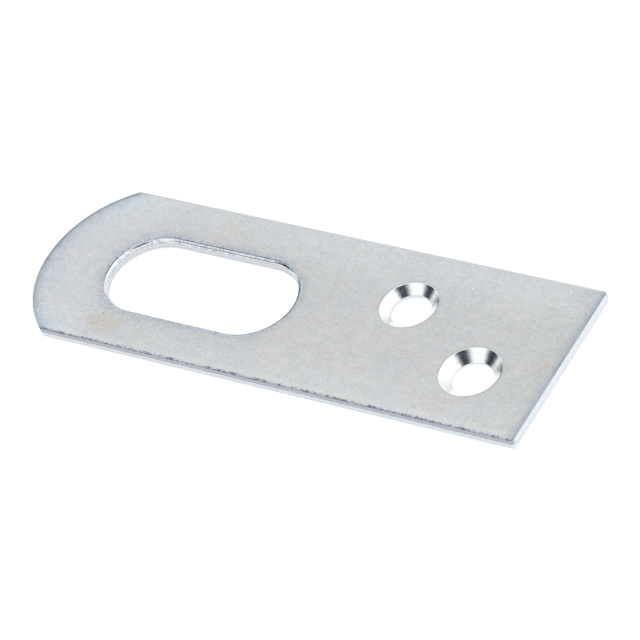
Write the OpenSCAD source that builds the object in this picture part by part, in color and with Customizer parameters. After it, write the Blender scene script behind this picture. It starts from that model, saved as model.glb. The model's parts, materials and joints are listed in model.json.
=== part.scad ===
/* [Plate] */
// Length along the middle, from the arc end to the square end
plate_l = 120; // [106:1:200]
// Width across the two long sides
plate_w = 40; // [30:1:50]
// Thickness of the steel
plate_t = 2.5; // [2:0.1:5]
// Radius of the arc end, at least half the width
end_r = 25; // [20:0.5:80]
// Rounding of the outer edges, above and below
edge_r = 0.3; // [0.1:0.05:0.6]

/* [Slot] */
// Length of the slot, from round end to round end
slot_l = 43; // [26:1:57]
// Width of the slot
slot_w = 19.8; // [8:0.2:28]
// Solid metal between the arc end and the slot
slot_web = 16; // [6:0.5:28]
// Offset of the slot's centreline from the plate's, towards +Y
slot_shift = -0.4; // [-3:0.1:3]
// Rounding of the slot's upper edge, where the punch drew the metal in
slot_roll_r = 0.9; // [0.1:0.05:1.4]

/* [Screw holes] */
// Diameter of the straight wall of the screw holes
hole_d = 8.4; // [4:0.2:9]
// Distance from the square end to the nearer hole
hole_margin = 16.5; // [9:0.5:30]
// Distance between the two holes along the plate
hole_pitch = 20.7; // [14:0.1:28]
// Distance between the two holes across the plate
hole_stagger = 12.6; // [0:0.1:20]
// Angle of the countersinks, from side to side
sink_angle = 90; // [60:5:100]
// Straight wall left under the countersink nearer the square end
end_hole_land = 0.4; // [0.2:0.1:1.2]
// Straight wall left under the countersink nearer the slot
slot_hole_land = 0.7; // [0.2:0.1:1.2]

/* [Hidden] */
$fn = 96;
// Overshoot of a cut past the face that it opens
cut = 1;
arc_end_x = -plate_l / 2;
square_end_x = plate_l / 2;
arc_centre_x = arc_end_x + end_r;
slot_r = slot_w / 2;
slot_left_x = arc_end_x + slot_web + slot_r;
slot_right_x = arc_end_x + slot_web + slot_l - slot_r;
end_hole_x = square_end_x - hole_margin;
slot_hole_x = end_hole_x - hole_pitch;

// A bar's cross-section, centred, with its four corners rounded
module rounded_section(width, height, corner_r) {
    inner_w = width - 2 * corner_r;
    inner_h = height - 2 * corner_r;
    translate([-inner_w / 2, 0]) square([inner_w, height]);
    translate([-width / 2, corner_r]) square([width, inner_h]);
    for (side = [-1, 1]) {
        for (level = [corner_r, height - corner_r]) {
            translate([side * inner_w / 2, level]) circle(r = corner_r);
        }
    }
}

// Strip with rounded long edges, lying along X
module strip() {
    translate([arc_end_x, 0, 0])
        rotate([90, 0, 90])
            linear_extrude(height = plate_l) rounded_section(plate_w, plate_t, edge_r);
}

// Slab whose two ends have rounded edges, wider than the strip
module end_rounding() {
    translate([0, plate_w / 2 + cut, 0])
        rotate([90, 0, 0])
            linear_extrude(height = plate_w + 2 * cut) rounded_section(plate_l, plate_t, edge_r);
}

// Disc that gives the arc end its outline and its rounded edge
module arc_disc() {
    translate([arc_centre_x, 0, 0])
        rotate_extrude()
            intersection() {
                rounded_section(2 * end_r, plate_t, edge_r);
                square([end_r + cut, plate_t]);
            }
}

// What the arc end leaves away from the strip's corners
module arc_corners() {
    difference() {
        translate([arc_end_x - cut, -plate_w / 2 - cut, -cut])
            cube([end_r + cut, plate_w + 2 * cut, plate_t + 2 * cut]);
        arc_disc();
    }
}

// Half of the slot's cross-section, with its flared mouth
module slot_half_section() {
    difference() {
        translate([0, -cut]) square([slot_r + slot_roll_r, plate_t + 2 * cut]);
        translate([slot_r, -2 * cut]) square([2 * slot_roll_r, plate_t - slot_roll_r + 2 * cut]);
        translate([slot_r + slot_roll_r, plate_t - slot_roll_r]) circle(r = slot_roll_r);
    }
}

// Everything that the punch takes out for the slot
module slot_cut() {
    translate([0, slot_shift, 0]) {
        translate([slot_left_x, 0, 0]) rotate([0, 0, 90]) rotate_extrude(angle = 180) slot_half_section();
        translate([slot_right_x, 0, 0]) rotate([0, 0, -90]) rotate_extrude(angle = 180) slot_half_section();
        translate([slot_left_x, 0, 0])
            rotate([90, 0, 90])
                linear_extrude(height = slot_right_x - slot_left_x) {
                    slot_half_section();
                    mirror([1, 0]) slot_half_section();
                }
    }
}

// Screw hole with a straight wall below and a countersink above it
module screw_hole(land) {
    flare = tan(sink_angle / 2);
    top_r = hole_d / 2 + (plate_t - land + cut) * flare;
    translate([0, 0, -cut]) cylinder(h = plate_t + 2 * cut, d = hole_d);
    translate([0, 0, land]) cylinder(h = plate_t - land + cut, r1 = hole_d / 2, r2 = top_r);
}

module slotted_plate() {
    color([0.77, 0.78, 0.79])
        difference() {
            intersection() {
                strip();
                end_rounding();
            }
            arc_corners();
            slot_cut();
            translate([end_hole_x, -hole_stagger / 2, 0]) screw_hole(end_hole_land);
            translate([slot_hole_x, hole_stagger / 2, 0]) screw_hole(slot_hole_land);
        }
}

slotted_plate();
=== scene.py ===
import json
import math
from functools import partial

import bpy
from mathutils import Matrix, Vector
from mathutils.geometry import delaunay_2d_cdt


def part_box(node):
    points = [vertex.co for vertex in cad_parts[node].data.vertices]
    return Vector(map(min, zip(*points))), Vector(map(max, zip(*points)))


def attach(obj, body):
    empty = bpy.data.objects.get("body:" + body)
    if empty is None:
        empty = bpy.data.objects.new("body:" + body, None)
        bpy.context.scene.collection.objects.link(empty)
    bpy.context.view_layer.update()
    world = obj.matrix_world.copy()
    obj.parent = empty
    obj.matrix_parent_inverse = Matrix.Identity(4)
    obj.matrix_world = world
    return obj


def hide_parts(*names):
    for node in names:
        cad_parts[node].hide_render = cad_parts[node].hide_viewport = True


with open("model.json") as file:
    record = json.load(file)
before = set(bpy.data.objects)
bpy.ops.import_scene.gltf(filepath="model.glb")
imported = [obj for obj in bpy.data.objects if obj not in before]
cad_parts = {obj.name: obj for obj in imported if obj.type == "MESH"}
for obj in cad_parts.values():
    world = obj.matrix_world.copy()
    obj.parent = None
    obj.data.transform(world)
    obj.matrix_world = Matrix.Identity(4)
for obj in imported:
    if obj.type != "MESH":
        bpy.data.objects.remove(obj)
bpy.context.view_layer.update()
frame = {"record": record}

# ---------------------------------------------------------------------------
# Sizes of the plate, in metres. Its box and its mounts' places come from the frame; the arc, the slot
# and the countersinks have the CAD plate's sizes.
# ---------------------------------------------------------------------------

MM = 0.001
MOUNTS = {mount["name"]: mount for mount in frame["record"]["mounts"]}
LOW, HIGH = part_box("slotted_plate")
HALF_LENGTH = (HIGH[0] - LOW[0]) / 2
HALF_WIDTH = (HIGH[1] - LOW[1]) / 2
THICKNESS = HIGH[2] - LOW[2]

END_RADIUS = 25.0 * MM
END_CENTRE = Vector((-HALF_LENGTH + END_RADIUS, 0))
CORNER_ROUND = 0.6 * MM
EDGE_ROUND = 0.22 * MM
FOOT_ROUND = 0.12 * MM
SLOT_FOOT_ROUND = 0.1 * MM

SLOT_LENGTH = 43.0 * MM
SLOT_WIDTH = 19.8 * MM
SLOT_RADIUS = SLOT_WIDTH / 2
SLOT_REACH = SLOT_LENGTH / 2 - SLOT_RADIUS
SLOT_CENTRE = Vector(MOUNTS["slot"]["pos_m"]).xy
SLOT_ROUND = 0.9 * MM

HOLE_RADIUS = MOUNTS["screw_holes"]["dims"]["hole_r_mm"] * MM
HOLES_MIDDLE = Vector(MOUNTS["screw_holes"]["pos_m"]).xy
HOLE_PITCH = 20.7 * MM
HOLE_STAGGER = 12.6 * MM
END_HOLE = HOLES_MIDDLE + Vector((HOLE_PITCH, -HOLE_STAGGER)) / 2
SLOT_HOLE = HOLES_MIDDLE - Vector((HOLE_PITCH, -HOLE_STAGGER)) / 2
END_HOLE_LAND = 0.4 * MM
SLOT_HOLE_LAND = 0.7 * MM

# Spacing of the mesh: along the edges, down the walls, and the rows of points beside each edge
STEP_ALONG = 0.3 * MM
FINE_STEP = 0.18 * MM
FACE_ROWS = [inset * MM for inset in (3.2, 2.7, 2.25, 1.85, 1.5, 1.25, 0.95, 0.7, 0.5)]
ROW_GAP = 0.1 * MM
BEND_STEPS = 6
EDGE_ROUND_STEPS = 8
SLOT_ROUND_STEPS = 14
FOOT_ROUND_STEPS = 5
CONE_STEPS = 40
CONE_LIP = 0.04 * MM
CONE_FACE_ROWS = [outset * MM for outset in (1.8, 1.2, 0.8, 0.45, 0.2, 0.08)]
HOLE_FOOT = 0.05 * MM
HOLE_FOOT_STEPS = 3
HOLE_BACK_ROWS = [outset * MM for outset in (0.2, 0.6, 1.4)]

# Height of the line where the cut walls turn from smooth to torn, and how far it wanders
BREAK_HEIGHT = 1.35 * MM
BREAK_WANDER = 0.35 * MM

SMOOTH_ANGLE = math.radians(38)
# Finishes of the faces
FACE, EDGE, CONE = range(3)


# ---------------------------------------------------------------------------
# Node helpers
# ---------------------------------------------------------------------------


def node(tree, kind, inputs=None, **settings):
    """A new node with its settings; inputs gives its sockets' values or links by name or number."""
    made = tree.nodes.new(kind)
    for name, value in settings.items():
        setattr(made, name, value)
    for name, value in (inputs or {}).items():
        if isinstance(value, bpy.types.NodeSocket):
            tree.links.new(value, made.inputs[name])
        else:
            made.inputs[name].default_value = value
    return made


def calc(tree, operation, *values):
    """The result of a Math node."""
    return node(tree, "ShaderNodeMath", dict(enumerate(values)), operation=operation).outputs[0]


def smooth_range(tree, value, low, high, to_low=0.0, to_high=1.0):
    """Eases a value from one range to another."""
    inputs = {"Value": value, "From Min": low, "From Max": high, "To Min": to_low, "To Max": to_high}
    return node(tree, "ShaderNodeMapRange", inputs, interpolation_type="SMOOTHSTEP").outputs["Result"]


def stretch(tree, vector, factors):
    """A vector with each axis multiplied by its own factor."""
    return node(tree, "ShaderNodeVectorMath", {0: vector, 1: factors}, operation="MULTIPLY").outputs[0]


def add_input(tree, name, kind, value=None):
    """Adds a named input to a node group."""
    made = tree.interface.new_socket(name=name, in_out="INPUT", socket_type=kind)
    if value is not None:
        made.default_value = value
    return made


# ---------------------------------------------------------------------------
# Rims: closed loops of points round the plate's edges
# ---------------------------------------------------------------------------


def between(start, end, count):
    """count values from start up to, but not including, end."""
    return [start + (end - start) * i / count for i in range(count)]


def on_circle(centre, radius, angle):
    """The point of a circle at an angle from +X."""
    return centre + radius * Vector((math.cos(angle), math.sin(angle)))


def outline(inset):
    """The plate's outline, counterclockwise from the front corner of the arc end, moved in by inset."""
    side = HALF_WIDTH - inset
    radius = END_RADIUS - inset
    end = HALF_LENGTH - inset
    bend = max(CORNER_ROUND - inset, ROW_GAP)
    corner_x = END_CENTRE.x - math.sqrt(radius**2 - side**2)
    corner_angle = math.asin(side / radius)
    side_steps = round((HALF_LENGTH - END_CENTRE.x) / STEP_ALONG)
    end_steps = round(2 * HALF_WIDTH / STEP_ALONG)
    arc_steps = round(2 * END_RADIUS * math.asin(HALF_WIDTH / END_RADIUS) / STEP_ALONG)
    front = between(Vector((corner_x, -side)), Vector((end - bend, -side)), side_steps)
    front_turn = between(-math.pi / 2, 0, BEND_STEPS)
    front_bend = [on_circle(Vector((end - bend, bend - side)), bend, a) for a in front_turn]
    square = between(Vector((end, bend - side)), Vector((end, side - bend)), end_steps)
    back_turn = between(0, math.pi / 2, BEND_STEPS)
    back_bend = [on_circle(Vector((end - bend, side - bend)), bend, a) for a in back_turn]
    back = between(Vector((end - bend, side)), Vector((corner_x, side)), side_steps)
    turn = between(math.pi - corner_angle, math.pi + corner_angle, arc_steps)
    arc = [on_circle(END_CENTRE, radius, a) for a in turn]
    return front + front_bend + square + back_bend + back + arc


def slot_rim(outset):
    """The slot's edge, counterclockwise, moved out into the metal by outset."""
    radius = SLOT_RADIUS + outset
    straight_steps = round(2 * SLOT_REACH / STEP_ALONG)
    round_steps = round(math.pi * SLOT_RADIUS / STEP_ALONG)
    points = []
    for side in (1, -1):
        middle = SLOT_CENTRE + Vector((side * SLOT_REACH, 0))
        first = -math.pi / 2 * side
        points += [on_circle(middle, radius, a) for a in between(first, first + math.pi, round_steps)]
        last = middle + Vector((0, side * radius))
        points += between(last, last - Vector((side * 2 * SLOT_REACH, 0)), straight_steps)
    return points


def hole_rim(centre, outset):
    """A screw hole's edge, counterclockwise, moved out into the metal by outset."""
    steps = round(2 * math.pi * HOLE_RADIUS / FINE_STEP)
    return [on_circle(centre, HOLE_RADIUS + outset, a) for a in between(0, 2 * math.pi, steps)]


# ---------------------------------------------------------------------------
# Profiles: rows from the upper face, over an edge and down to the back face
# ---------------------------------------------------------------------------


def rounding(radius, steps):
    """(inset, drop) pairs down a quarter round, from the face to the wall."""
    turns = [math.pi / 2 * i / steps for i in range(steps + 1)]
    return [(radius * (1 - math.sin(turn)), radius * (1 - math.cos(turn))) for turn in turns]


def sheared_profile(upper_round, lower_round, round_steps):
    """(inset, height, finish) rows over a sheared edge."""
    rows = [(inset, THICKNESS, FACE) for inset in FACE_ROWS if inset > upper_round + ROW_GAP]
    rows += [(inset, THICKNESS - drop, EDGE) for inset, drop in rounding(upper_round, round_steps)]
    wall_steps = round((THICKNESS - upper_round - lower_round) / FINE_STEP)
    rows += [(0.0, height, EDGE) for height in between(THICKNESS - upper_round, lower_round, wall_steps)[1:]]
    rows += [(inset, drop, EDGE) for inset, drop in reversed(rounding(lower_round, FOOT_ROUND_STEPS))]
    rows += [(inset, 0.0, FACE) for inset in reversed(FACE_ROWS[::2]) if inset > lower_round + ROW_GAP]
    return rows


def sunk_profile(land):
    """(outset from the hole's wall, height, finish) rows down a countersink."""
    depth = THICKNESS - land
    cone_depth = depth - CONE_LIP
    rows = [(depth + outset, THICKNESS, FACE) for outset in CONE_FACE_ROWS]
    for share in between(0.0, 1.0, CONE_STEPS):
        rows.append((cone_depth * (1 - share), THICKNESS - CONE_LIP - cone_depth * share, CONE))
    rows += [(0.0, height, EDGE) for height in between(land, HOLE_FOOT, HOLE_FOOT_STEPS)]
    rows += [(0.0, HOLE_FOOT, EDGE), (HOLE_FOOT, 0.0, FACE)]
    rows += [(outset, 0.0, FACE) for outset in HOLE_BACK_ROWS]
    return rows


def row_finish(above, below):
    """The finish of the faces between two rows."""
    if EDGE in (above, below):
        return EDGE
    return CONE if CONE in (above, below) else FACE


# ---------------------------------------------------------------------------
# The plate's mesh
# ---------------------------------------------------------------------------

GRID_STEP = 1.6 * MM
GRID_MARGIN = GRID_STEP * 0.6
MERGE_DISTANCE = 1e-9
FAR = 1.0


def edge_distances(spot):
    """How far a spot is from the cut ends, the slit sides, the slot and the countersinks' rims."""
    to_arc = END_RADIUS - (spot - END_CENTRE).length if spot.x < END_CENTRE.x else FAR
    to_end = min(HALF_LENGTH - spot.x, to_arc)
    to_side = HALF_WIDTH - abs(spot.y)
    along = max(-SLOT_REACH, min(SLOT_REACH, spot.x - SLOT_CENTRE.x))
    to_slot = (spot - SLOT_CENTRE - Vector((along, 0))).length - SLOT_RADIUS
    to_holes = []
    for centre, land in ((END_HOLE, END_HOLE_LAND), (SLOT_HOLE, SLOT_HOLE_LAND)):
        to_holes.append((spot - centre).length - HOLE_RADIUS - (THICKNESS - land))
    return to_end, to_side, to_slot, min(to_holes)


class PlateMesh:
    """Vertices and faces of the plate, with the finish of every face."""

    def __init__(self):
        self.points = []
        self.sheared = []
        self.faces = []
        self.finishes = []

    def add_rim(self, loop, profile, inward, sheared):
        """Skins a profile's rows round a loop, and gives the first and the last row's vertices."""
        rows = []
        for inset, height, finish in profile:
            row = [(p.x, p.y, height) for p in loop(inset)]
            rows.append((range(len(self.points), len(self.points) + len(row)), finish))
            self.points += row
            self.sheared += [1.0 if sheared and finish == EDGE else 0.0] * len(row)
        for (upper, above), (lower, below) in zip(rows, rows[1:]):
            for i, j in zip(range(len(upper)), [*range(1, len(upper)), 0]):
                quad = (upper[i], upper[j], lower[j], lower[i])
                self.faces.append(quad if inward else quad[::-1])
                self.finishes.append(row_finish(above, below))
        return list(rows[0][0]), list(rows[-1][0])

    def fill(self, loops, is_metal, upward):
        """Fills a face of the plate between closed loops of its vertices, over a grid of points."""
        height = self.points[loops[0][0]][2]
        numbers = [number for loop in loops for number in loop]
        spots = [Vector(self.points[number][:2]) for number in numbers]
        edges = []
        start = 0
        for loop in loops:
            edges += [(start + i, start + (i + 1) % len(loop)) for i in range(len(loop))]
            start += len(loop)
        columns = int(HALF_LENGTH / GRID_STEP)
        lines = int(HALF_WIDTH / GRID_STEP)
        for column in range(-columns, columns + 1):
            for line in range(-lines, lines + 1):
                spot = Vector((column * GRID_STEP, (line + 0.5 * (column % 2)) * GRID_STEP))
                if is_metal(spot, GRID_MARGIN):
                    spots.append(spot)
        made, _, triangles, sources, _, _ = delaunay_2d_cdt(spots, edges, [], 0, MERGE_DISTANCE)
        place = {}
        for index, (spot, origins) in enumerate(zip(made, sources)):
            known = [origin for origin in origins if origin < len(numbers)]
            if known:
                place[index] = numbers[known[0]]
                continue
            place[index] = len(self.points)
            self.points.append((spot.x, spot.y, height))
            self.sheared.append(0.0)
        for triangle in triangles:
            if is_metal(sum((made[v] for v in triangle), Vector((0, 0))) / 3, 0.0):
                corners = tuple(place[v] for v in triangle)
                self.faces.append(corners if upward else corners[::-1])
                self.finishes.append(FACE)

    def to_mesh(self, name):
        """The plain mesh, with its finishes and its points' distances from the edges as attributes."""
        mesh = bpy.data.meshes.new(name)
        mesh.from_pydata(self.points, [], self.faces)
        mesh.attributes.new("finish", "INT", "FACE").data.foreach_set("value", self.finishes)
        mesh.attributes.new("sheared", "FLOAT", "POINT").data.foreach_set("value", self.sheared)
        distances = [edge_distances(Vector(point[:2])) for point in self.points]
        for label, values in zip(("to_end", "to_side", "to_slot", "to_countersink"), zip(*distances)):
            mesh.attributes.new(label, "FLOAT", "POINT").data.foreach_set("value", values)
        mesh.validate()
        return mesh


def metal_inside(edge_inset, slot_outset, sunk_outset):
    """A test for whether a spot lies in the flat metal inside the rims' innermost rows."""

    def is_metal(spot, margin):
        to_end, to_side, to_slot, to_countersink = edge_distances(spot)
        clear_of_outline = min(to_end, to_side) > edge_inset + margin
        return clear_of_outline and to_slot > slot_outset + margin and to_countersink > sunk_outset + margin

    return is_metal


def plate_mesh():
    """The plate: its rims skinned from their profiles, and its two faces filled between them."""
    plate = PlateMesh()
    outer = sheared_profile(EDGE_ROUND, FOOT_ROUND, EDGE_ROUND_STEPS)
    punched = sheared_profile(SLOT_ROUND, SLOT_FOOT_ROUND, SLOT_ROUND_STEPS)
    end_sunk = sunk_profile(END_HOLE_LAND)
    slot_sunk = sunk_profile(SLOT_HOLE_LAND)
    rims = [
        plate.add_rim(outline, outer, inward=False, sheared=True),
        plate.add_rim(slot_rim, punched, inward=True, sheared=True),
        plate.add_rim(partial(hole_rim, END_HOLE), end_sunk, inward=True, sheared=False),
        plate.add_rim(partial(hole_rim, SLOT_HOLE), slot_sunk, inward=True, sheared=False),
    ]
    sunk_inner = end_sunk[0][0] - (THICKNESS - END_HOLE_LAND)
    is_face_metal = metal_inside(outer[0][0], punched[0][0], sunk_inner)
    plate.fill([rim[0] for rim in rims], is_face_metal, upward=True)
    on_back = metal_inside(outer[-1][0], punched[-1][0], 0.0)
    hole_reach = HOLE_RADIUS + end_sunk[-1][0]

    def is_back_metal(spot, margin):
        if not on_back(spot, margin) and edge_distances(spot)[3] > 0.0:
            return False
        return all((spot - hole).length > hole_reach + margin for hole in (END_HOLE, SLOT_HOLE))

    plate.fill([rim[1] for rim in rims], is_back_metal, upward=False)
    return plate.to_mesh("slotted_plate_blank")


# ---------------------------------------------------------------------------
# Marks of the press, the slitter and the countersink drill
# ---------------------------------------------------------------------------


def press_marks_tree():
    """Geometry nodes that roll the cut edges, tear the walls, bow the sheet and groove the countersinks."""
    tree = bpy.data.node_groups.new("press_marks", "GeometryNodeTree")
    tree.interface.new_socket(name="Geometry", in_out="OUTPUT", socket_type="NodeSocketGeometry")
    add_input(tree, "Geometry", "NodeSocketGeometry")
    for name, value in (
        ("Thickness", THICKNESS),
        ("End Roll Depth", 0.16 * MM), ("End Roll Width", 0.9 * MM),
        ("Side Roll Depth", 0.02 * MM), ("Side Roll Width", 0.35 * MM),
        ("Slot Roll Depth", 0.04 * MM), ("Slot Roll Width", 1.2 * MM),
        ("Bow Depth", 0.05 * MM), ("Bow Length", 26.0 * MM),
        ("Ripple Depth", 0.010 * MM), ("Ripple Length", 4.5 * MM),
        ("Break Height", BREAK_HEIGHT), ("Break Wander", BREAK_WANDER), ("Break Depth", 0.06 * MM),
        ("Streak Depth", 0.006 * MM),
        ("Tear Depth", 0.012 * MM), ("Tear Length", 0.55 * MM),
        ("Groove Pitch", 0.21 * MM), ("Groove Depth", 0.006 * MM),
    ):
        add_input(tree, name, "NodeSocketFloat", value)
    add_input(tree, "Seed", "NodeSocketInt", 7)
    for name in ("Face Finish", "Edge Finish", "Countersink Finish"):
        add_input(tree, name, "NodeSocketMaterial")
    given = node(tree, "NodeGroupInput").outputs
    place = node(tree, "GeometryNodeInputPosition").outputs[0]
    normal = node(tree, "GeometryNodeInputNormal").outputs[0]
    height = node(tree, "ShaderNodeSeparateXYZ", {0: place}).outputs["Z"]

    def attribute(name, kind="FLOAT"):
        return node(tree, "GeometryNodeInputNamedAttribute", {"Name": name}, data_type=kind).outputs[0]

    def noise(length, detail, shift, flatten=1.0):
        """Noise from 0 to 1 whose patches are about length across; flatten stretches it up the walls."""
        spot = stretch(tree, place, (1.0, 1.0, flatten))
        scale = calc(tree, "DIVIDE", 1.0, length)
        seed = calc(tree, "ADD", given["Seed"], shift)
        inputs = {"Vector": spot, "W": seed, "Scale": scale, "Detail": detail}
        return node(tree, "ShaderNodeTexNoise", inputs, noise_dimensions="4D").outputs[0]

    def scale_vector(vector, factor):
        inputs = {0: vector, "Scale": factor}
        return node(tree, "ShaderNodeVectorMath", inputs, operation="SCALE").outputs[0]

    def roll(distance, depth, width):
        """How far the sheet is drawn down beside a cut."""
        clear = calc(tree, "MAXIMUM", distance, 0.0)
        fade = calc(tree, "EXPONENT", calc(tree, "MULTIPLY", calc(tree, "DIVIDE", clear, width), -1.0))
        return calc(tree, "MULTIPLY", depth, fade)

    share = calc(tree, "DIVIDE", height, given["Thickness"])
    rolls = roll(attribute("to_end"), given["End Roll Depth"], given["End Roll Width"])
    for label, side in (("to_side", "Side Roll"), ("to_slot", "Slot Roll")):
        drawn = roll(attribute(label), given[side + " Depth"], given[side + " Width"])
        rolls = calc(tree, "ADD", rolls, drawn)
    uneven = smooth_range(tree, noise(6.0 * MM, 2.0, 0.0), 0.3, 0.7, 0.65, 1.3)
    rolls = calc(tree, "MULTIPLY", rolls, uneven)
    bow = calc(tree, "MULTIPLY", noise(given["Bow Length"], 1.0, 3.0), given["Bow Depth"])
    ripple = calc(tree, "MULTIPLY", noise(given["Ripple Length"], 2.0, 5.0), given["Ripple Depth"])
    waves = calc(tree, "ADD", bow, ripple)
    sink = calc(tree, "MULTIPLY", calc(tree, "ADD", rolls, waves), share)
    back_share = calc(tree, "SUBTRACT", 1.0, share)
    back_bow = calc(tree, "MULTIPLY", noise(given["Bow Length"], 2.0, 8.0), given["Bow Depth"])
    rise = calc(tree, "MULTIPLY", back_bow, back_share)
    shift_up = node(tree, "ShaderNodeCombineXYZ", {"Z": calc(tree, "SUBTRACT", rise, sink)}).outputs[0]

    wander = calc(tree, "SUBTRACT", noise(2.2 * MM, 3.0, 11.0, 0.1), 0.5)
    wander = calc(tree, "MULTIPLY", wander, given["Break Wander"])
    line = calc(tree, "ADD", given["Break Height"], wander)
    below = calc(tree, "SUBTRACT", line, height)
    torn = smooth_range(tree, below, -0.04 * MM, 0.10 * MM)
    tear = calc(tree, "MULTIPLY", noise(given["Tear Length"], 4.0, 13.0, 0.5), given["Tear Depth"])
    push = calc(tree, "MULTIPLY", torn, calc(tree, "ADD", tear, given["Break Depth"]))
    streaks = calc(tree, "MULTIPLY", noise(0.5 * MM, 2.0, 17.0, 0.12), given["Streak Depth"])
    push = calc(tree, "MULTIPLY", calc(tree, "ADD", push, streaks), attribute("sheared"))
    level = stretch(tree, normal, (1.0, 1.0, 0.0))
    inward = calc(tree, "MULTIPLY", push, -1.0)
    shift_in = scale_vector(level, inward)

    def has_finish(number):
        inputs = {2: attribute("finish", "INT"), 3: number}
        return node(tree, "FunctionNodeCompare", inputs, data_type="INT", operation="EQUAL").outputs[0]

    turns = calc(tree, "DIVIDE", attribute("to_countersink"), given["Groove Pitch"])
    ridge = calc(tree, "SINE", calc(tree, "MULTIPLY", turns, 2 * math.pi))
    half_depth = calc(tree, "MULTIPLY", given["Groove Depth"], 0.5)
    groove = calc(tree, "MULTIPLY", calc(tree, "SUBTRACT", ridge, 1.0), half_depth)
    shift_groove = scale_vector(normal, groove)

    body = given["Geometry"]
    body = node(tree, "GeometryNodeSetPosition", {"Geometry": body, "Offset": shift_in}).outputs[0]
    body = node(tree, "GeometryNodeSetPosition", {"Geometry": body, "Offset": shift_up}).outputs[0]
    inputs = {"Geometry": body, "Selection": has_finish(CONE), "Offset": shift_groove}
    body = node(tree, "GeometryNodeSetPosition", inputs).outputs[0]
    body = node(tree, "GeometryNodeRealizeInstances", {"Geometry": body}).outputs[0]
    for number, name in ((FACE, "Face Finish"), (EDGE, "Edge Finish"), (CONE, "Countersink Finish")):
        inputs = {"Geometry": body, "Selection": has_finish(number), "Material": given[name]}
        body = node(tree, "GeometryNodeSetMaterial", inputs).outputs[0]
    node(tree, "NodeGroupOutput", {0: body})
    return tree


def finish_plate(blank, materials):
    """The blank with the press's marks and its materials on, as one plain object."""
    tree = press_marks_tree()
    raw = bpy.data.objects.new("slotted_plate_blank", blank)
    bpy.context.scene.collection.objects.link(raw)
    marks = raw.modifiers.new("press_marks", "NODES")
    marks.node_group = tree
    sockets = {item.name: item.identifier for item in tree.interface.items_tree if item.in_out == "INPUT"}
    for name, material in materials.items():
        marks[sockets[name]] = material
    bpy.context.view_layer.update()
    depsgraph = bpy.context.evaluated_depsgraph_get()
    pressed = raw.evaluated_get(depsgraph)
    mesh = bpy.data.meshes.new_from_object(pressed, preserve_all_data_layers=True, depsgraph=depsgraph)
    mesh.name = "slotted_plate_finished"
    raw.modifiers.remove(marks)
    bpy.data.objects.remove(raw)
    mesh.shade_smooth()
    mesh.set_sharp_from_angle(angle=SMOOTH_ANGLE)
    plate = bpy.data.objects.new("slotted_plate_finished", mesh)
    bpy.context.scene.collection.objects.link(plate)
    return plate


# ---------------------------------------------------------------------------
# Materials
# ---------------------------------------------------------------------------


def new_group(name, inputs, outputs):
    """A shader node group with named inputs and outputs: its tree, its inputs and its output node."""
    tree = bpy.data.node_groups.new(name, "ShaderNodeTree")
    for label, kind, value in inputs:
        add_input(tree, label, kind, value)
    for label, kind in outputs:
        tree.interface.new_socket(name=label, in_out="OUTPUT", socket_type=kind)
    return tree, node(tree, "NodeGroupInput").outputs, node(tree, "NodeGroupOutput")


def use_group(tree, group, inputs):
    """The outputs of a node group, placed in a tree with its inputs set."""
    return node(tree, "ShaderNodeGroup", inputs, node_tree=group).outputs


def shader_noise(tree, place, size, detail=2.0, roughness=0.5, shift=0.0):
    """Noise from 0 to 1 whose patches are about size across."""
    ends = {0: place, 1: (shift, shift, shift)}
    moved = node(tree, "ShaderNodeVectorMath", ends, operation="ADD").outputs[0]
    scale = calc(tree, "DIVIDE", 1.0, size)
    inputs = {"Vector": moved, "Scale": scale, "Detail": detail, "Roughness": roughness}
    return node(tree, "ShaderNodeTexNoise", inputs).outputs[0]


def mix_colour(tree, factor, first, second, blend="MIX"):
    """Two colours blended by a factor; each colour is a socket or three numbers."""
    made = node(tree, "ShaderNodeMix", {"Factor": factor}, data_type="RGBA", blend_type=blend)
    for socket, value in ((made.inputs[6], first), (made.inputs[7], second)):
        if isinstance(value, bpy.types.NodeSocket):
            tree.links.new(value, socket)
        else:
            socket.default_value = (*value, 1.0)
    return made.outputs[2]


def tint_where(tree, mask, strength, colour, tint):
    """A colour multiplied by a tint where a mask is 1, with a strength."""
    return mix_colour(tree, calc(tree, "MULTIPLY", mask, strength), colour, tint, "MULTIPLY")


def grey_of(tree, tone):
    """A grey of the given tone."""
    return node(tree, "ShaderNodeCombineColor", {0: tone, 1: tone, 2: tone}).outputs[0]


def link_shader(tree, shader, colour, tone, rough, bumps, bump_depth):
    """Links a colour with its tone, a roughness and bumps to a Principled shader."""
    toned = mix_colour(tree, 1.0, colour, grey_of(tree, tone), "MULTIPLY")
    inputs = {"Strength": 1.0, "Distance": bump_depth, "Height": bumps}
    normal = node(tree, "ShaderNodeBump", inputs).outputs[0]
    for name, value in (("Base Color", toned), ("Roughness", rough), ("Normal", normal)):
        tree.links.new(value, shader.inputs[name])


def zinc_grain_group():
    """Mottled crystals of the zinc coat: broad clouds, small mottles and fine grain, each from 0 to 1."""
    tree, given, out = new_group(
        "zinc_grain",
        (("Position", "NodeSocketVector", None), ("Cloud Size", "NodeSocketFloat", 14 * MM),
         ("Mottle Size", "NodeSocketFloat", 2.2 * MM), ("Grain Size", "NodeSocketFloat", 0.45 * MM)),
        (("Clouds", "NodeSocketFloat"), ("Mottles", "NodeSocketFloat"), ("Grain", "NodeSocketFloat")),
    )
    place = given["Position"]
    lengthened = stretch(tree, place, (0.7, 1.0, 1.0))
    clouds = shader_noise(tree, place, given["Cloud Size"], 3.0, 0.55)
    mottles = shader_noise(tree, lengthened, given["Mottle Size"], 3.0, 0.6, 0.31)
    grain = shader_noise(tree, place, given["Grain Size"], 2.0, 0.6, 0.73)
    for name, value in (("Clouds", clouds), ("Mottles", mottles), ("Grain", grain)):
        tree.links.new(value, out.inputs[name])
    return tree


SCRATCH_ANGLE = math.radians(4)


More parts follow.
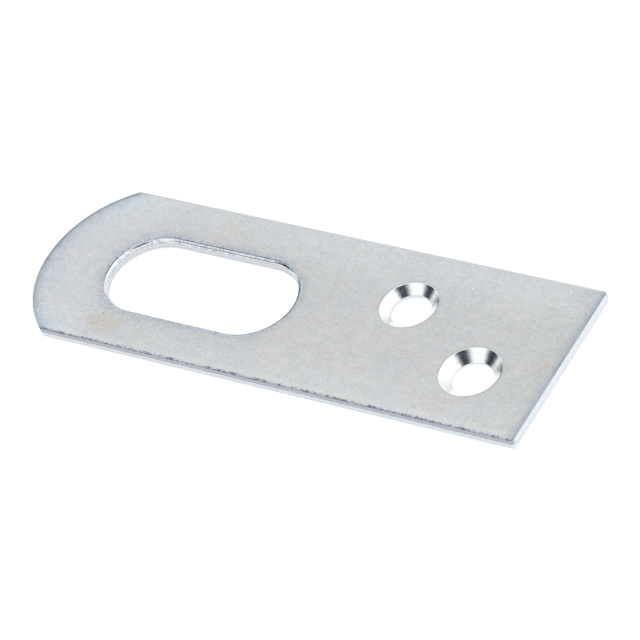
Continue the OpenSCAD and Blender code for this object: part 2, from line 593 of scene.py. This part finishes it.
def sheet_wear_group():
    """Small pits and fine scratches along the sheet, as masks from 0 to 1."""
    tree, given, out = new_group(
        "sheet_wear",
        (("Position", "NodeSocketVector", None), ("Pit Spacing", "NodeSocketFloat", 0.9 * MM),
         ("Pit Size", "NodeSocketFloat", 0.28), ("Scratch Length", "NodeSocketFloat", 14 * MM),
         ("Scratch Width", "NodeSocketFloat", 0.12 * MM)),
        (("Pits", "NodeSocketFloat"), ("Scratches", "NodeSocketFloat")),
    )
    place = given["Position"]
    scale = calc(tree, "DIVIDE", 1.0, given["Pit Spacing"])
    cells = node(tree, "ShaderNodeTexVoronoi", {"Vector": place, "Scale": scale, "Randomness": 1.0})
    rare = node(tree, "ShaderNodeSeparateColor", {0: cells.outputs["Color"]}).outputs[0]
    beyond = smooth_range(tree, cells.outputs["Distance"], 0.0, given["Pit Size"])
    pits = calc(tree, "SUBTRACT", 1.0, beyond)
    pits = calc(tree, "MULTIPLY", pits, smooth_range(tree, rare, 0.35, 0.8))
    patches = smooth_range(tree, shader_noise(tree, place, 9 * MM, 2.0, 0.5, 0.17), 0.42, 0.62)
    pits = calc(tree, "MULTIPLY", pits, patches)
    aspect = calc(tree, "DIVIDE", given["Scratch Width"], given["Scratch Length"])
    factors = node(tree, "ShaderNodeCombineXYZ", {"X": aspect, "Y": 1.0, "Z": 1.0}).outputs[0]
    turn = {"Vector": place, "Angle": SCRATCH_ANGLE}
    turned = node(tree, "ShaderNodeVectorRotate", turn, rotation_type="Z_AXIS").outputs[0]
    streaks = shader_noise(tree, stretch(tree, turned, factors), given["Scratch Width"], 1.0, 0.5, 0.51)
    scratches = smooth_range(tree, streaks, 0.66, 0.78)
    for name, value in (("Pits", pits), ("Scratches", scratches)):
        tree.links.new(value, out.inputs[name])
    return tree


def stain_group():
    """A soft, ragged patch round a point of the plate, as a mask from 0 to 1."""
    tree, given, out = new_group(
        "stain",
        (("Position", "NodeSocketVector", None), ("Centre", "NodeSocketVector", None),
         ("Length", "NodeSocketFloat", 8 * MM), ("Width", "NodeSocketFloat", 4 * MM),
         ("Turn", "NodeSocketFloat", 0.0), ("Raggedness", "NodeSocketFloat", 0.6)),
        (("Mask", "NodeSocketFloat"),),
    )
    ends = {0: given["Position"], 1: given["Centre"]}
    offset = node(tree, "ShaderNodeVectorMath", ends, operation="SUBTRACT").outputs[0]
    turn = {"Vector": offset, "Angle": given["Turn"]}
    turned = node(tree, "ShaderNodeVectorRotate", turn, rotation_type="Z_AXIS").outputs[0]
    inputs = {"X": given["Length"], "Y": given["Width"], "Z": 1.0}
    sizes = node(tree, "ShaderNodeCombineXYZ", inputs).outputs[0]
    scaled = node(tree, "ShaderNodeVectorMath", {0: turned, 1: sizes}, operation="DIVIDE").outputs[0]
    reach = node(tree, "ShaderNodeVectorMath", {0: scaled}, operation="LENGTH").outputs["Value"]
    ragged = calc(tree, "SUBTRACT", shader_noise(tree, given["Position"], 3 * MM, 4.0, 0.65, 0.9), 0.5)
    raggedness = calc(tree, "MULTIPLY", given["Raggedness"], 3.0)
    reach = calc(tree, "ADD", reach, calc(tree, "MULTIPLY", ragged, raggedness))
    tree.links.new(smooth_range(tree, reach, 1.0, 0.0), out.inputs["Mask"])
    return tree


def rim_shade_group():
    """A band beside an edge that fades with distance from it, as a mask from 0 to 1, for painting shade
    beside the cuts.
    """
    tree, given, out = new_group(
        "rim_shade",
        (("Position", "NodeSocketVector", None), ("Distance", "NodeSocketFloat", 0.0),
         ("Width", "NodeSocketFloat", 1.0 * MM), ("Raggedness", "NodeSocketFloat", 0.5)),
        (("Mask", "NodeSocketFloat"),),
    )
    ragged = shader_noise(tree, given["Position"], 2.0 * MM, 4.0, 0.65, 0.4)
    ragged = smooth_range(tree, ragged, 0.25, 0.75, 0.0, 2.0)
    width = node(tree, "ShaderNodeMix", {0: given["Raggedness"], 2: 1.0, 3: ragged}).outputs[0]
    width = calc(tree, "MULTIPLY", given["Width"], width)
    clear = calc(tree, "MAXIMUM", given["Distance"], 0.0)
    mask = calc(tree, "EXPONENT", calc(tree, "MULTIPLY", calc(tree, "DIVIDE", clear, width), -1.0))
    tree.links.new(mask, out.inputs["Mask"])
    return tree


def metal_material(name):
    """A metal with its Principled shader and the piece's own coordinates."""
    material = bpy.data.materials.new(name)
    material.use_nodes = True
    tree = material.node_tree
    shader = tree.nodes["Principled BSDF"]
    shader.inputs["Metallic"].default_value = 1.0
    place = node(tree, "ShaderNodeTexCoord").outputs["Object"]
    return material, tree, shader, place


def distance_to(tree, name):
    """The distance from an edge that the mesh carries as an attribute."""
    return node(tree, "ShaderNodeAttribute", attribute_name=name).outputs["Fac"]


def shade(tree, value, amount):
    """A colour factor that varies by amount, up and down, round 1."""
    return calc(tree, "MULTIPLY_ADD", calc(tree, "SUBTRACT", value, 0.5), amount, 1.0)


# Stains of the passivation: centre from the square end and the middle line, length and width in
# millimetres, turn, colour, strength
STAINS = (
    ((-98, -15.0), 7.0, 3.6, 0.15, (1.00, 0.86, 0.72), 0.60),
    ((-84, 15.5), 5.0, 2.2, -0.9, (1.00, 0.90, 0.74), 0.50),
    ((-79, 14.0), 4.0, 1.6, -0.9, (1.00, 0.90, 0.74), 0.35),
    ((-20, -15.0), 8.0, 3.5, 0.1, (1.00, 0.90, 0.88), 0.60),
    ((-3, 18.5), 2.0, 1.2, 0.0, (1.00, 0.82, 0.78), 0.60),
    ((-3, -1.5), 3.5, 3.0, 1.57, (1.00, 0.90, 0.86), 0.60),
    ((-48, 9.5), 5.0, 2.5, 0.2, (0.93, 0.97, 1.03), 0.60),
)


def zinc_face_material(groups):
    """The rolled face: bright zinc with faint clouds, stains and pits, painted blue-grey shade beside the
    cuts and a painted highlight along the front edge.
    """
    material, tree, shader, place = metal_material("zinc_plated_face")
    grain = use_group(tree, groups["grain"], {"Position": place})
    wear = use_group(tree, groups["wear"], {"Position": place})
    clouds = smooth_range(tree, grain["Clouds"], 0.35, 0.65)
    colour = mix_colour(tree, clouds, (0.578, 0.580, 0.583), (0.598, 0.594, 0.589))
    along = node(tree, "ShaderNodeSeparateXYZ", {0: place}).outputs
    blue_end = smooth_range(tree, along["X"], -30 * MM, -55 * MM)
    blue_back = smooth_range(tree, along["Y"], 6 * MM, 18 * MM)
    front_light = smooth_range(tree, along["Y"], -8 * MM, -17 * MM)
    # Painted highlight: a lighter strip along the front edge of the face, fading out between 1.2 and 2.2 mm
    # in from it.
    front_highlight_band = smooth_range(tree, distance_to(tree, "to_side"), 2.2 * MM, 1.2 * MM)
    front_edge_painted_highlight = calc(tree, "MULTIPLY", front_light, front_highlight_band)
    green_end = smooth_range(tree, along["X"], 40 * MM, 55 * MM)
    for mask, strength, tint in (
        (blue_end, 0.8, (1.07, 1.13, 1.165)),
        (blue_back, 0.6, (1.09, 1.13, 1.15)),
        (front_light, 0.6, (1.085, 1.10, 1.11)),
        # painted highlight along the front edge
        (front_edge_painted_highlight, 1.0, (1.05, 1.05, 1.045)),
        (green_end, 1.0, (0.985, 0.992, 0.978)),
    ):
        colour = tint_where(tree, mask, strength, colour, tint)
    for (x, y), length, width, turn, tint, strength in STAINS:
        centre = (HALF_LENGTH + x * MM, y * MM, THICKNESS)
        inputs = {"Centre": centre, "Length": length * MM, "Width": width * MM, "Turn": turn}
        mask = use_group(tree, groups["stain"], {"Position": place, **inputs})["Mask"]
        colour = tint_where(tree, mask, strength, colour, tint)
    # Painted shade beside the cuts: darker, bluish bands along the cut ends, the slit sides, the slot and the
    # countersinks' rims, where the rolled and rounded edges turn from the light.
    for name, width, tint, strength in (
        ("to_end", 1.1 * MM, (0.58, 0.69, 0.78), 1.0),
        ("to_end", 1.5 * MM, (0.87, 0.90, 0.94), blue_end),
        ("to_end", 0.16 * MM, (0.66, 0.68, 0.74), 0.9),
        ("to_side", 0.10 * MM, (0.62, 0.61, 0.66), 0.9),
        ("to_slot", 1.0 * MM, (0.50, 0.56, 0.62), 1.0),
        ("to_countersink", 0.22 * MM, (0.66, 0.70, 0.76), 0.9),
    ):
        inputs = {"Position": place, "Distance": distance_to(tree, name), "Width": width}
        mask = use_group(tree, groups["rim"], inputs)["Mask"]
        colour = tint_where(tree, mask, strength, colour, tint)
    warmth = shader_noise(tree, place, 3.2 * MM, 2.0, 0.5, 0.11)
    hue = mix_colour(tree, smooth_range(tree, warmth, 0.3, 0.7), (0.988, 0.999, 1.011), (1.012, 1.0, 0.989))
    colour = mix_colour(tree, 1.0, colour, hue, "MULTIPLY")
    tone = calc(tree, "MULTIPLY", shade(tree, grain["Mottles"], 0.30), shade(tree, grain["Grain"], 0.44))
    centre = (-45 * MM, -15 * MM, THICKNESS)
    inputs = {"Position": place, "Centre": centre, "Length": 22 * MM, "Width": 7 * MM}
    pit_depth = use_group(tree, groups["stain"], inputs)["Mask"]
    pit_depth = calc(tree, "MULTIPLY_ADD", pit_depth, 0.9, 0.38)
    pits = calc(tree, "MULTIPLY", wear["Pits"], pit_depth)
    tone = calc(tree, "MULTIPLY", tone, calc(tree, "MULTIPLY_ADD", pits, -0.70, 1.0))
    tone = calc(tree, "MULTIPLY", tone, calc(tree, "MULTIPLY_ADD", wear["Scratches"], 0.05, 1.0))
    rough = calc(tree, "MULTIPLY_ADD", grain["Mottles"], 0.16, 0.24)
    rough = calc(tree, "MULTIPLY_ADD", pits, 0.2, rough)
    rough = calc(tree, "MULTIPLY_ADD", wear["Scratches"], -0.06, rough)
    bumps = calc(tree, "MULTIPLY_ADD", grain["Mottles"], 1.0, calc(tree, "MULTIPLY", grain["Grain"], 0.35))
    bumps = calc(tree, "MULTIPLY_ADD", pits, -0.9, bumps)
    bumps = calc(tree, "MULTIPLY_ADD", wear["Scratches"], -0.25, bumps)
    link_shader(tree, shader, colour, tone, rough, bumps, 0.012 * MM)
    return material


def sheared_edge_material(groups):
    """The cut walls: on the slit sides a smooth burnished band painted dark as a painted reflection, a
    painted shade line at the break, and the paler torn band below it; painted shade along the tops of the
    walls and in the slot's roll and crease.
    """
    material, tree, shader, place = metal_material("sheared_edge")
    sizes = {"Cloud Size": 6 * MM, "Mottle Size": 0.9 * MM, "Grain Size": 0.2 * MM}
    grain = use_group(tree, groups["grain"], {"Position": place, **sizes})
    wear = use_group(tree, groups["wear"], {"Position": place, "Pit Spacing": 0.9 * MM, "Pit Size": 0.3})
    along = node(tree, "ShaderNodeSeparateXYZ", {0: place}).outputs
    height = along["Z"]

    def down_from_face(start, end):
        """A mask that rises from 0 to 1 between two depths below the upper face, in millimetres."""
        return smooth_range(tree, height, THICKNESS - start * MM, THICKNESS - end * MM)

    def patches(size, detail, roughness, shift, low, high, to_low=0.0, to_high=1.0):
        """Patches about size millimetres across, where the noise passes from low to high."""
        noise = shader_noise(tree, place, size * MM, detail, roughness, shift)
        return smooth_range(tree, noise, low, high, to_low, to_high)

    on_side = smooth_range(tree, distance_to(tree, "to_side"), 0.9 * MM, 0.4 * MM)
    in_slot = smooth_range(tree, distance_to(tree, "to_slot"), 3.0 * MM, 1.5 * MM)
    in_front = smooth_range(tree, along["Y"], 0.0, -10 * MM)

    wander = calc(tree, "SUBTRACT", shader_noise(tree, stretch(tree, place, (1, 1, 0.1)), 2.2 * MM, 3.0), 0.5)
    line = calc(tree, "MULTIPLY_ADD", wander, BREAK_WANDER, BREAK_HEIGHT)
    above = calc(tree, "SUBTRACT", height, line)
    burnished = smooth_range(tree, above, -0.25 * MM, 0.05 * MM)
    # Painted reflection: on the slit sides the burnished band above the break is painted dark for the dim
    # room; the torn band below keeps the pale metal colour.
    side_colour = mix_colour(tree, burnished, (0.71, 0.735, 0.75), (0.44, 0.46, 0.50))
    lip = down_from_face(0.14, 0.05)
    side_colour = mix_colour(tree, lip, side_colour, (0.59, 0.60, 0.63))
    # Painted shade: the top 0.26 mm of the cut ends' walls, along their rounded edge, is painted dark, fading
    # out by 0.38 mm.
    end_colour = mix_colour(tree, down_from_face(0.38, 0.26), (0.72, 0.745, 0.78), (0.46, 0.49, 0.53))
    colour = mix_colour(tree, on_side, end_colour, side_colour)

    rolled = down_from_face(1.0, 0.8)
    slot_colour = mix_colour(tree, rolled, (0.65, 0.67, 0.69), (0.69, 0.72, 0.75))
    # Painted shade: a ragged dark line on the slot's roll, 0.12 to 0.26 mm below the face.
    flecks = patches(0.7, 4.0, 0.7, 0.27, 0.38, 0.60, 0.80, 1.15)
    slot_roll_shade_line = calc(tree, "MULTIPLY", down_from_face(0.26, 0.12), flecks)
    slot_colour = mix_colour(tree, slot_roll_shade_line, slot_colour, (0.44, 0.48, 0.53))
    mottled = grey_of(tree, patches(0.8, 4.0, 0.7, 0.61, 0.36, 0.54, 0.76, 1.08))
    slot_colour = mix_colour(tree, rolled, slot_colour, mottled, "MULTIPLY")
    # Painted shade in the crease where the slot's roll meets its wall, about 0.92 mm below the face, broken
    # into patches.
    slot_crease_shade = calc(tree, "ABSOLUTE", calc(tree, "SUBTRACT", height, THICKNESS - 0.92 * MM))
    slot_crease_shade = smooth_range(tree, slot_crease_shade, 0.17 * MM, 0.05 * MM)
    fold_gaps = patches(0.9, 3.0, 0.7, 0.29, 0.44, 0.56)
    slot_colour = tint_where(tree, slot_crease_shade, fold_gaps, slot_colour, (0.52, 0.52, 0.57))
    colour = mix_colour(tree, in_slot, colour, slot_colour)

    # Painted shade: a broken dark line along the step at the break on the slit sides.
    break_shade_line = smooth_range(tree, calc(tree, "ABSOLUTE", above), 0.24 * MM, 0.04 * MM)
    broken = calc(tree, "MULTIPLY", on_side, patches(1.1, 3.0, 0.65, 0.83, 0.38, 0.58))
    colour = tint_where(tree, break_shade_line, broken, colour, (0.62, 0.63, 0.69))
    front_side = calc(tree, "MULTIPLY", on_side, in_front)
    ragged = patches(1.6, 4.0, 0.7, 0.2, 0.35, 0.6)
    # Painted shade: the top half-millimetre of the front side's wall, below its lip, darkened in ragged
    # patches.
    front_brow_shade = calc(tree, "MULTIPLY", down_from_face(0.5, 0.3), calc(tree, "SUBTRACT", 1.0, lip))
    front_brow_shade = calc(tree, "MULTIPLY", front_brow_shade, ragged)
    colour = tint_where(tree, front_brow_shade, front_side, colour, (0.80, 0.82, 0.84))
    # Painted shade: near-black ragged dashes in the top 0.22 mm of the front side's wall, fading out by 0.36
    # mm.
    dashes = shader_noise(tree, stretch(tree, place, (0.5, 1, 1)), 0.40 * MM, 3.0, 0.75, 0.37)
    dashes = smooth_range(tree, calc(tree, "MULTIPLY_ADD", ragged, 0.14, dashes), 0.57, 0.68)
    dashes = calc(tree, "MULTIPLY", down_from_face(0.36, 0.22), dashes)
    colour = tint_where(tree, dashes, front_side, colour, (0.38, 0.37, 0.43))

    tone = calc(tree, "MULTIPLY", shade(tree, grain["Mottles"], 0.14), shade(tree, grain["Grain"], 0.05))
    tone = calc(tree, "MULTIPLY", tone, calc(tree, "MULTIPLY_ADD", wear["Pits"], -0.18, 1.0))
    rough = calc(tree, "MULTIPLY_ADD", burnished, -0.14, 0.32)
    rough = calc(tree, "MULTIPLY_ADD", calc(tree, "MULTIPLY", in_slot, rolled), -0.08, rough)
    rough = calc(tree, "MULTIPLY_ADD", grain["Mottles"], 0.1, rough)
    streaks = shader_noise(tree, stretch(tree, place, (1, 1, 0.15)), 0.25 * MM, 2.0, 0.6, 0.6)
    bumps = calc(tree, "MULTIPLY", calc(tree, "ADD", streaks, grain["Grain"]), 0.4)
    dents = shader_noise(tree, place, 0.8 * MM, 4.0, 0.65, 0.47)
    bumps = calc(tree, "MULTIPLY_ADD", calc(tree, "MULTIPLY", dents, in_slot), 9.0, bumps)
    link_shader(tree, shader, colour, tone, rough, bumps, 0.005 * MM)
    return material


def countersink_material(groups):
    """The turned cones: bright metal with fine rings left by the countersink drill."""
    material, tree, shader, place = metal_material("turned_countersink")
    sizes = {"Cloud Size": 3 * MM, "Mottle Size": 0.7 * MM, "Grain Size": 0.15 * MM}
    grain = use_group(tree, groups["grain"], {"Position": place, **sizes})
    across_rings = node(tree, "ShaderNodeCombineXYZ", {"X": distance_to(tree, "to_countersink")}).outputs[0]
    drift = stretch(tree, place, (0.12, 0.12, 0.0))
    ring_place = node(tree, "ShaderNodeVectorMath", {0: across_rings, 1: drift}, operation="ADD").outputs[0]
    rings = shader_noise(tree, ring_place, 0.45 * MM, 3.0, 0.7)
    colour = mix_colour(tree, grain["Clouds"], (0.78, 0.80, 0.79), (0.86, 0.86, 0.84))
    tone = calc(tree, "MULTIPLY", shade(tree, rings, 0.40), shade(tree, grain["Mottles"], 0.10))
    rough = calc(tree, "MULTIPLY_ADD", grain["Mottles"], 0.08, 0.09)
    bumps = calc(tree, "MULTIPLY_ADD", grain["Grain"], 0.4, rings)
    link_shader(tree, shader, colour, tone, rough, bumps, 0.036 * MM)
    return material


# ---------------------------------------------------------------------------
# Studio: camera, room light and floor
# ---------------------------------------------------------------------------

VIEW_AZIMUTH = math.radians(44.25)
VIEW_ELEVATION = math.radians(42.79)
VIEW_ROLL = math.radians(-20.64)
VIEW_DISTANCE = 0.7695
VIEW_LENS = 221.3
SENSOR_WIDTH = 36.0
AIM_FROM_CENTRE = Vector((7.04 * MM, -2.27 * MM))


def add_camera():
    """The camera, aimed near the middle of the upper face and rolled."""
    data = bpy.data.cameras.new("studio_camera")
    data.sensor_width = SENSOR_WIDTH
    data.lens = VIEW_LENS
    camera = bpy.data.objects.new("studio_camera", data)
    bpy.context.scene.collection.objects.link(camera)
    flat = math.cos(VIEW_ELEVATION)
    back = Vector((math.sin(VIEW_AZIMUTH) * flat, -math.cos(VIEW_AZIMUTH) * flat, math.sin(VIEW_ELEVATION)))
    level_right = Vector((0, 0, 1)).cross(back).normalized()
    level_up = back.cross(level_right)
    right = level_right * math.cos(VIEW_ROLL) + level_up * math.sin(VIEW_ROLL)
    up = back.cross(right)
    centre = (Vector(LOW) + Vector(HIGH)) / 2
    aim = Vector((centre.x + AIM_FROM_CENTRE.x, centre.y + AIM_FROM_CENTRE.y, HIGH[2]))
    turn = Matrix((right, up, back)).transposed()
    camera.matrix_world = Matrix.Translation(aim + back * VIEW_DISTANCE) @ turn.to_4x4()
    bpy.context.scene.camera = camera


WHITE = (1, 1, 1, 1)
DARK_ROOM_TINT = (0.78, 0.90, 1.15)
BRIGHT_ROOM_TINT = (0.97, 0.99, 1.0)
ROOM_LEVEL = 1.13
# Parts of the room: direction, half-angle of its even part, half-angle where it ends, level there
ROOM_PARTS = (
    ((-0.30, -0.73, 0.61), 17, 25, 1.1),
    ((0.62, 0.55, 0.52), 34, 48, 1.2),
    ((0.50, -0.46, 0.735), 11, 24, 0.06),
    ((-0.825, -0.45, 0.345), 9, 26, 0.045),
    ((-0.51, -0.03, 0.86), 7, 20, 0.50),
    ((0.04, 0.53, 0.85), 6, 20, 0.35),
    ((-0.85, 0.50, 0.12), 12, 30, 0.15),
    ((-0.51, -0.85, 0.10), 5, 14, 0.05),
)


def light_room():
    """Room light with brighter and darker parts, and a white backdrop for the camera."""
    world = bpy.data.worlds.new("studio_room")
    bpy.context.scene.world = world
    world.use_nodes = True
    tree = world.node_tree
    tree.nodes.clear()
    direction = node(tree, "ShaderNodeTexCoord").outputs["Generated"]
    level = ROOM_LEVEL
    for towards, even, end, part_level in ROOM_PARTS:
        unit = Vector(towards).normalized()
        along = node(tree, "ShaderNodeVectorMath", {0: direction, 1: unit}, operation="DOT_PRODUCT")
        along = along.outputs["Value"]
        inner = math.cos(math.radians(even))
        outer = math.cos(math.radians(end))
        level = calc(tree, "MULTIPLY", level, smooth_range(tree, along, outer, inner, 1.0, part_level))
    tint = mix_colour(tree, smooth_range(tree, level, 0.0, 0.7), DARK_ROOM_TINT, BRIGHT_ROOM_TINT)
    room = node(tree, "ShaderNodeBackground", {"Color": tint, "Strength": level})
    backdrop = node(tree, "ShaderNodeBackground", {"Color": WHITE, "Strength": 1.0})
    seen = node(tree, "ShaderNodeLightPath").outputs["Is Camera Ray"]
    mix = node(tree, "ShaderNodeMixShader", {0: seen, 1: room.outputs[0], 2: backdrop.outputs[0]})
    node(tree, "ShaderNodeOutputWorld", {"Surface": mix.outputs[0]})


FLOOR_SIZE = 6.0
FLOOR_GAP = 0.05 * MM
FLOOR_COLOUR = (0.85, 0.85, 0.85, 1)
FLOOR_GLOW = 0.4


def add_floor():
    """A plain white table top under the plate, lit a little from below."""
    half = FLOOR_SIZE / 2
    level = LOW[2] - FLOOR_GAP
    corners = [(-half, -half, level), (half, -half, level), (half, half, level), (-half, half, level)]
    mesh = bpy.data.meshes.new("table_top")
    mesh.from_pydata(corners, [], [(0, 1, 2, 3)])
    floor = bpy.data.objects.new("table_top", mesh)
    bpy.context.scene.collection.objects.link(floor)
    material = bpy.data.materials.new("white_table")
    material.use_nodes = True
    tree = material.node_tree
    shader = tree.nodes["Principled BSDF"]
    shader.inputs["Base Color"].default_value = FLOOR_COLOUR
    shader.inputs["Roughness"].default_value = 0.9
    shader.inputs["Specular IOR Level"].default_value = 0.0
    shader.inputs["Emission Color"].default_value = WHITE
    shader.inputs["Emission Strength"].default_value = FLOOR_GLOW
    white = node(tree, "ShaderNodeEmission", {"Color": WHITE, "Strength": 1.0}).outputs[0]
    seen = node(tree, "ShaderNodeLightPath").outputs["Is Camera Ray"]
    mix = node(tree, "ShaderNodeMixShader", {0: seen, 1: shader.outputs[0], 2: white}).outputs[0]
    tree.links.new(mix, tree.nodes["Material Output"].inputs["Surface"])
    mesh.materials.append(material)


# ---------------------------------------------------------------------------
# Assembly
# ---------------------------------------------------------------------------

add_camera()
add_floor()
light_room()
GROUPS = {
    "grain": zinc_grain_group(),
    "wear": sheet_wear_group(),
    "stain": stain_group(),
    "rim": rim_shade_group(),
}
plate = finish_plate(plate_mesh(), {
    "Face Finish": zinc_face_material(GROUPS),
    "Edge Finish": sheared_edge_material(GROUPS),
    "Countersink Finish": countersink_material(GROUPS),
})
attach(plate, "root")
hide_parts("slotted_plate")

bpy.context.scene.view_settings.view_transform = "Standard"
